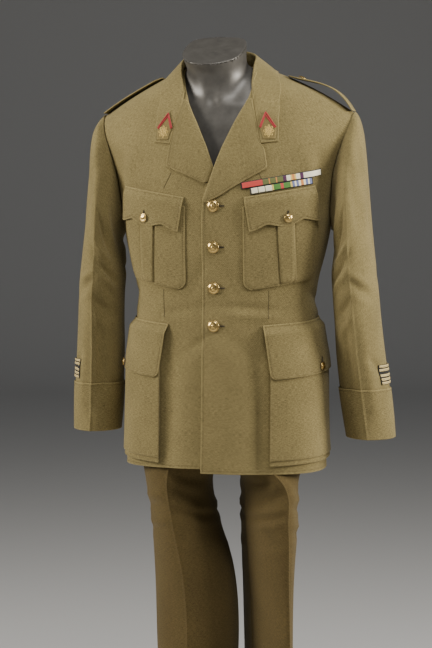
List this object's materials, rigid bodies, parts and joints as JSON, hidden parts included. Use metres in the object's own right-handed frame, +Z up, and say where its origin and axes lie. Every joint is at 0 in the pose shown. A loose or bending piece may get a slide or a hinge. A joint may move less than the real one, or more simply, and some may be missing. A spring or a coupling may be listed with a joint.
{
  "type": "military uniform on dress form",
  "caption": "Service tunic with notched collar, pleated and bellows pockets, straps and cuffs, over creased trousers, on a limbless form with pole and round base.",
  "frame": {"origin": "middle of the base plate's underside, on the floor", "axes": "+Z up; the uniform faces -Y and the wearer's left is +X"},
  "size_m": [0.6468, 0.4, 1.6365],
  "materials": {
    "tunic_wool": "khaki-olive wool with a diagonal weave",
    "trouser_wool": "darker brown wool, pressed",
    "brass": "polished",
    "bar_braid": "pale gold braid",
    "patch_cloth": "dark khaki felt",
    "ribbon_silk": "striped watered silk",
    "form_gloss": "gloss black",
    "stand_metal": "black enamel"
  },
  "bodies": {
    "root": {"back_left": "tunic_wool", "back_right": "tunic_wool", "base_plate": "stand_metal", "chest_button_left": "brass", "chest_button_right": "brass", "chest_flap_left": "tunic_wool", "chest_flap_right": "tunic_wool", "chest_pocket_left": "tunic_wool", "chest_pocket_right": "tunic_wool", "collar": "tunic_wool", "collar_patch_left": "patch_cloth", "collar_patch_right": "patch_cloth", "cuff_left": "tunic_wool", "cuff_right": "tunic_wool", "dress_form": "form_gloss", "front_button_1": "brass", "front_button_2": "brass", "front_button_3": "brass", "front_button_4": "brass", "front_left": "tunic_wool", "front_right": "tunic_wool", "lapel_left": "tunic_wool", "lapel_right": "tunic_wool", "ribbon_row_bottom": "ribbon_silk", "ribbon_row_top": "ribbon_silk", "service_bars_left": "bar_braid", "service_bars_right": "bar_braid", "shoulder_strap_left": "tunic_wool", "shoulder_strap_right": "tunic_wool", "skirt_button_left": "brass", "skirt_button_right": "brass", "skirt_flap_left": "tunic_wool", "skirt_flap_right": "tunic_wool", "skirt_pocket_left": "tunic_wool", "skirt_pocket_right": "tunic_wool", "sleeve_left": "tunic_wool", "sleeve_right": "tunic_wool", "stand_pole": "stand_metal", "strap_button_left": "brass", "strap_button_right": "brass", "trouser_back_left": "trouser_wool", "trouser_back_right": "trouser_wool", "trouser_front_left": "trouser_wool", "trouser_front_right": "trouser_wool", "waistband": "trouser_wool"}
  },
  "joints": []
}
